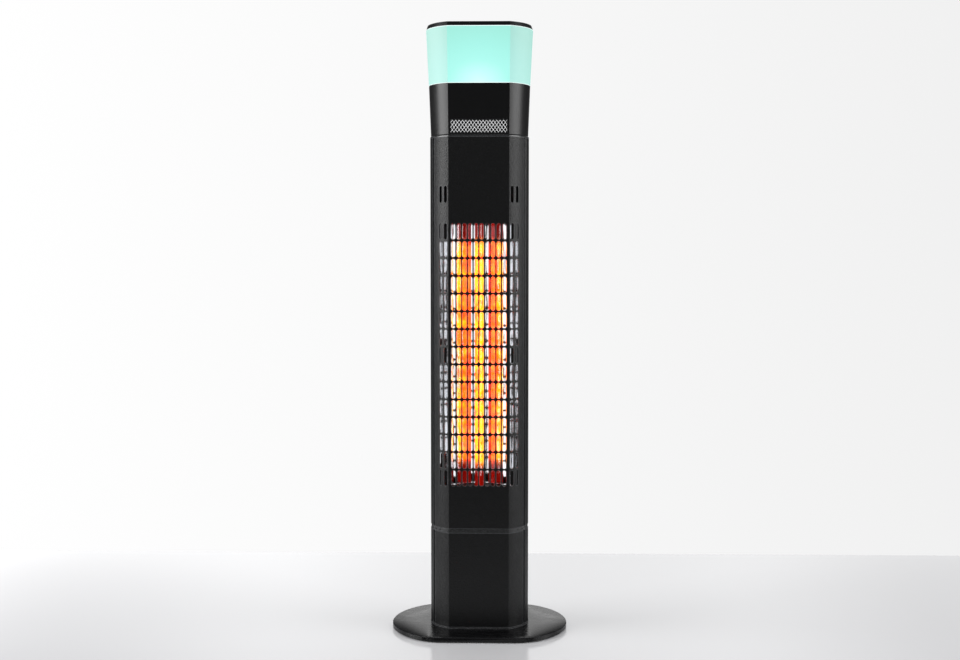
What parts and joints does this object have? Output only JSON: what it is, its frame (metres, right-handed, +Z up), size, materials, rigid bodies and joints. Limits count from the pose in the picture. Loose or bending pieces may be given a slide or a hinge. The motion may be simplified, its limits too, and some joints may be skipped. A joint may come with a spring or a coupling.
{
  "type": "infrared patio heater tower",
  "caption": "Free-standing infrared tower heater: slotted wrap-round grille over an upright quartz lamp, flared speaker head, lit lantern and flat-sided foot plate.",
  "frame": {"origin": "on the floor, under the middle of the base plate", "axes": "+Z up; -Y towards the front, where the grille is; +X to the right, seen from the front"},
  "size_m": [0.322, 0.237, 1.1015],
  "materials": {
    "powder_coat": "fine-grained black powder coat",
    "base_coat": "satin black coat",
    "rubber_pad": "matte",
    "zinc_sheet": "plain zinc-plated sheet",
    "fastener_steel": "zinc-plated",
    "black_nylon": "moulded",
    "ceramic": "unglazed ceramic",
    "brass_weight": "turned",
    "component_plastic": "moulded",
    "dark_bracket": "heat-resistant black",
    "polished_aluminium": "polished",
    "ruby_quartz": "ruby-coated quartz",
    "glowing_coil": "tungsten, glowing",
    "wire_sleeve": "woven sleeve",
    "circuit_board": "solder mask",
    "red_rocker": "moulded",
    "button_plastic": "moulded",
    "satin_abs": "satin moulded",
    "silver_mesh": "expanded sheet",
    "ferrite": "sintered ferrite",
    "cone_paper": "pressed paper",
    "white_tray": "white moulded",
    "led_lens": "lens",
    "opal_lantern": "opal translucent"
  },
  "bodies": {
    "tower": {"base_plate": "base_coat", "rubber_feet": "rubber_pad", "base_bracket": "zinc_sheet", "base_bolts": "fastener_steel", "foot_collar": "powder_coat", "pedestal_front": "powder_coat", "pedestal_rear": "powder_coat", "pedestal_screws": "fastener_steel", "cable_gland": "black_nylon", "gland_nut": "black_nylon", "terminal_block": "ceramic", "tilt_bracket": "zinc_sheet", "tilt_pin": "fastener_steel", "tilt_microswitch": "component_plastic", "vent_ring": "powder_coat", "frame_rails": "zinc_sheet", "rear_shell": "powder_coat", "rear_screws": "fastener_steel", "front_panel": "powder_coat", "panel_hooks": "dark_bracket", "reflector": "polished_aluminium", "heat_shield": "zinc_sheet", "reflector_bracket_lower": "dark_bracket", "reflector_bracket_upper": "dark_bracket", "lamp_tube": "ruby_quartz", "lamp_filament": "glowing_coil", "lamp_cap_lower": "ceramic", "lamp_cap_upper": "ceramic", "lamp_clip_lower": "zinc_sheet", "lamp_clip_upper": "zinc_sheet", "lamp_leads": "wire_sleeve", "overheat_cutout": "ceramic", "wiring_loom": "wire_sleeve", "control_board": "circuit_board", "board_parts": "component_plastic", "control_bezel": "black_nylon", "button_board": "circuit_board", "rocker_housing": "black_nylon", "column_trim": "powder_coat", "head_housing": "satin_abs", "mesh_frame": "black_nylon", "speaker_mesh": "silver_mesh", "speaker_baffle": "component_plastic", "speaker_basket": "zinc_sheet", "speaker_magnet": "ferrite", "led_tray": "white_tray", "led_board": "white_tray", "led_chips": "led_lens", "diffuser": "opal_lantern", "top_cap": "satin_abs"},
    "rocker": {"power_rocker": "red_rocker"},
    "heat_key": {"heat_button": "button_plastic"},
    "light_key": {"light_button": "button_plastic"},
    "pendulum": {"tilt_pendulum": "brass_weight"},
    "cone": {"speaker_cone": "cone_paper"}
  },
  "joints": [
    {"name": "rocker_tip", "type": "hinge", "parent": "tower", "child": "rocker", "pos_m": [-0.0215, 0.055, 0.8535], "axis": [1, 0, 0], "range_deg": [-18, 0]},
    {"name": "heat_press", "type": "slide", "parent": "tower", "child": "heat_key", "axis": [0, -1, 0], "range_m": [0, 0.0012], "stiffness_N_per_m": 300},
    {"name": "light_press", "type": "slide", "parent": "tower", "child": "light_key", "axis": [0, -1, 0], "range_m": [0, 0.0012], "stiffness_N_per_m": 300},
    {"name": "tilt_swing", "type": "hinge", "parent": "tower", "child": "pendulum", "pos_m": [-0.03, -0.0145, 0.081], "axis": [0, 1, 0], "range_deg": [-20, 20]},
    {"name": "cone_travel", "type": "slide", "parent": "tower", "child": "cone", "axis": [0, -1, 0], "range_m": [-0.0015, 0.0015], "stiffness_N_per_m": 800}
  ]
}
